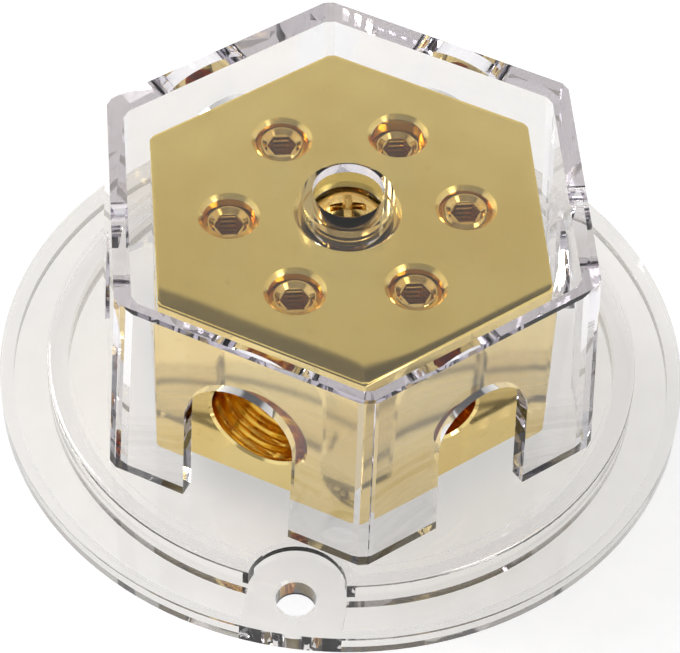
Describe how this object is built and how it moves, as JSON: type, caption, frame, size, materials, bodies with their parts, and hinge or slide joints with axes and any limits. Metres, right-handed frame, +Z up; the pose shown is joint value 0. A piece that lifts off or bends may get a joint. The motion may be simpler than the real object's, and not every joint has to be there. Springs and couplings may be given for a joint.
{
  "type": "power distribution block",
  "caption": "Round-based wire distribution block: hexagonal brass terminal with side wire ports and set screws under a clear screw-down hexagonal cover.",
  "frame": {"origin": "centre of the base's underside", "axes": "+Z up through the cover screw; the two fixing holes lie on Y; the hexagon is turned 12.5 degrees against them"},
  "size_m": [0.0814, 0.0814, 0.0321],
  "materials": {
    "clear_base": "clear moulded plastic, polished",
    "clear_cover": "clear moulded plastic, polished",
    "gilt_brass": "gold-plated, satin top face and bright sides",
    "gilt_screw": "gold-plated, bright",
    "gilt_set_screw": "gold-plated, bright",
    "zinc_screw": "zinc-plated"
  },
  "bodies": {
    "block_and_base": {"base": "clear_base", "terminal_block": "gilt_brass", "block_screw_left": "zinc_screw", "block_screw_right": "zinc_screw"},
    "cover": {"cover": "clear_cover"},
    "cover_screw": {"cover_screw": "gilt_screw"},
    "set_screw_supply": {"set_screw_supply": "gilt_set_screw"},
    "set_screw_1": {"set_screw_1": "gilt_set_screw"},
    "set_screw_2": {"set_screw_2": "gilt_set_screw"},
    "set_screw_3": {"set_screw_3": "gilt_set_screw"},
    "set_screw_4": {"set_screw_4": "gilt_set_screw"},
    "set_screw_5": {"set_screw_5": "gilt_set_screw"}
  },
  "joints": [
    {"name": "cover_lift", "type": "slide", "parent": "block_and_base", "child": "cover", "axis": [0, 0, 1], "range_m": [0, 0.04]},
    {"name": "cover_screw_travel", "type": "slide", "parent": "cover", "child": "cover_screw", "axis": [0, 0, 1], "range_m": [0, 0.012]},
    {"name": "set_screw_supply_travel", "type": "slide", "parent": "block_and_base", "child": "set_screw_supply", "axis": [0, 0, 1], "range_m": [-0.0041, 0.003]},
    {"name": "set_screw_1_travel", "type": "slide", "parent": "block_and_base", "child": "set_screw_1", "axis": [0, 0, 1], "range_m": [-0.0072, 0.0028]},
    {"name": "set_screw_2_travel", "type": "slide", "parent": "block_and_base", "child": "set_screw_2", "axis": [0, 0, 1], "range_m": [-0.0076, 0.0024]},
    {"name": "set_screw_3_travel", "type": "slide", "parent": "block_and_base", "child": "set_screw_3", "axis": [0, 0, 1], "range_m": [-0.0062, 0.0038]},
    {"name": "set_screw_4_travel", "type": "slide", "parent": "block_and_base", "child": "set_screw_4", "axis": [0, 0, 1], "range_m": [-0.0074, 0.0026]},
    {"name": "set_screw_5_travel", "type": "slide", "parent": "block_and_base", "child": "set_screw_5", "axis": [0, 0, 1], "range_m": [-0.0069, 0.0031]}
  ]
}
